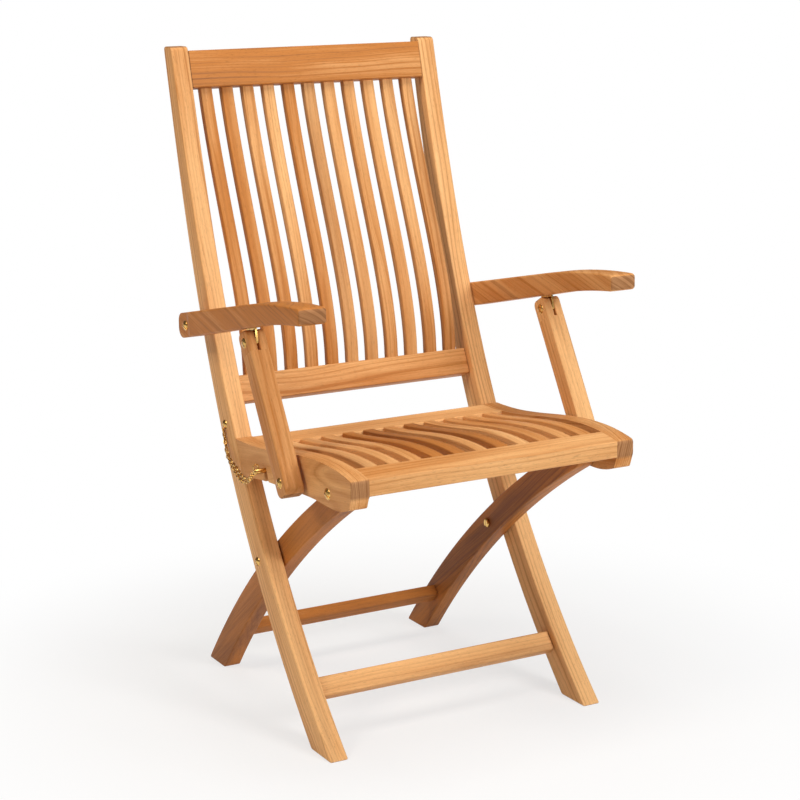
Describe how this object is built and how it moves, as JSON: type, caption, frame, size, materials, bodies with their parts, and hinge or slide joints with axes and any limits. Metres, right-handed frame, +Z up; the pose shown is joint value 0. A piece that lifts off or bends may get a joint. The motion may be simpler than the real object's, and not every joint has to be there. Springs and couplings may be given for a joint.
{
  "type": "folding armchair",
  "caption": "Folding outdoor armchair in slatted teak: bent back stiles, crossing rear legs, a waved seat that swings up, arms on struts, and brass pivots, lock pins and chains.",
  "frame": {"origin": "on the floor, at the middle of the open chair's plan", "axes": "+X to the right as seen from the front, which is the sitter's left, +Y from the front edge of the seat to the back, +Z up"},
  "size_m": [0.57, 0.628, 1.0295],
  "materials": {
    "teak": "oiled teak, satin, straight grain along every board",
    "brass": "dull brass, a little worn"
  },
  "bodies": {
    "back_frame": {"stile_left": "teak", "safety_chain_left": "brass", "stile_right": "teak", "safety_chain_right": "brass", "top_rail": "teak", "lower_rail": "teak", "front_stretcher": "teak", "leg_pivot_bolts": "brass", "leg_pivot_nuts": "brass", "leg_pivot_spacers": "brass", "arm_pivot_bolts": "brass", "arm_washers": "brass", "lock_plates": "brass", "lock_plate_screws": "brass", "chain_screws": "brass", "back_slat_1": "teak", "back_slat_2": "teak", "back_slat_3": "teak", "back_slat_4": "teak", "back_slat_5": "teak", "back_slat_6": "teak", "back_slat_7": "teak", "back_slat_8": "teak", "back_slat_9": "teak", "back_slat_10": "teak", "back_slat_11": "teak"},
    "rear_legs": {"rear_leg_left": "teak", "rear_leg_right": "teak", "rear_stretcher": "teak"},
    "seat": {"seat_side_rail_left": "teak", "seat_side_rail_right": "teak", "seat_front_rail": "teak", "seat_rear_rail": "teak", "seat_pivot_bolts": "brass", "seat_pivot_nuts": "brass", "seat_pivot_spacers": "brass", "strut_foot_inserts": "brass", "seat_slat_1": "teak", "seat_slat_2": "teak", "seat_slat_3": "teak", "seat_slat_4": "teak", "seat_slat_5": "teak", "seat_slat_6": "teak", "seat_slat_7": "teak", "seat_slat_8": "teak", "seat_slat_9": "teak", "seat_slat_10": "teak", "seat_slat_11": "teak"},
    "left_arm": {"arm_left": "teak", "arm_bracket_left": "brass"},
    "right_arm": {"arm_right": "teak", "arm_bracket_right": "brass"},
    "left_strut": {"strut_left": "teak", "strut_top_pin_left": "brass", "strut_foot_bolt_left": "brass"},
    "right_strut": {"strut_right": "teak", "strut_top_pin_right": "brass", "strut_foot_bolt_right": "brass"},
    "left_lock_pin": {"lock_pin_left": "brass"},
    "right_lock_pin": {"lock_pin_right": "brass"}
  },
  "joints": [
    {"name": "frame_fold", "type": "hinge", "parent": "back_frame", "child": "rear_legs", "pos_m": [0, 0.0102, 0.2492], "axis": [-1, 0, 0], "range_deg": [0, 69]},
    {"name": "seat_hinge", "type": "hinge", "parent": "rear_legs", "child": "seat", "pos_m": [0, -0.2381, 0.4165], "axis": [1, 0, 0], "range_deg": [0, 138.7]},
    {"name": "left_arm_hinge", "type": "hinge", "parent": "back_frame", "child": "left_arm", "pos_m": [-0.263, 0.173, 0.6015], "axis": [-1, 0, 0], "range_deg": [0, 96.45]},
    {"name": "left_strut_hinge", "type": "hinge", "parent": "left_arm", "child": "left_strut", "pos_m": [-0.2585, -0.0441, 0.6088], "axis": [1, 0, 0], "range_deg": [0, 99.68]},
    {"name": "right_arm_hinge", "type": "hinge", "parent": "back_frame", "child": "right_arm", "pos_m": [0.263, 0.173, 0.6015], "axis": [-1, 0, 0], "range_deg": [0, 96.45]},
    {"name": "right_strut_hinge", "type": "hinge", "parent": "right_arm", "child": "right_strut", "pos_m": [0.2585, -0.0441, 0.6088], "axis": [1, 0, 0], "range_deg": [0, 99.68]},
    {"name": "left_lock_pin_slide", "type": "slide", "parent": "back_frame", "child": "left_lock_pin", "axis": [-1, 0, 0], "range_m": [0, 0.045]},
    {"name": "right_lock_pin_slide", "type": "slide", "parent": "back_frame", "child": "right_lock_pin", "axis": [1, 0, 0], "range_m": [0, 0.045]}
  ],
  "couplings": [
    {"joint": "seat_hinge", "follows": "frame_fold", "ratio": 2.0087},
    {"joint": "left_arm_hinge", "follows": "frame_fold", "ratio": 1.3964},
    {"joint": "left_strut_hinge", "follows": "frame_fold", "ratio": 1.4432},
    {"joint": "right_arm_hinge", "follows": "frame_fold", "ratio": 1.3964},
    {"joint": "right_strut_hinge", "follows": "frame_fold", "ratio": 1.4432}
  ]
}
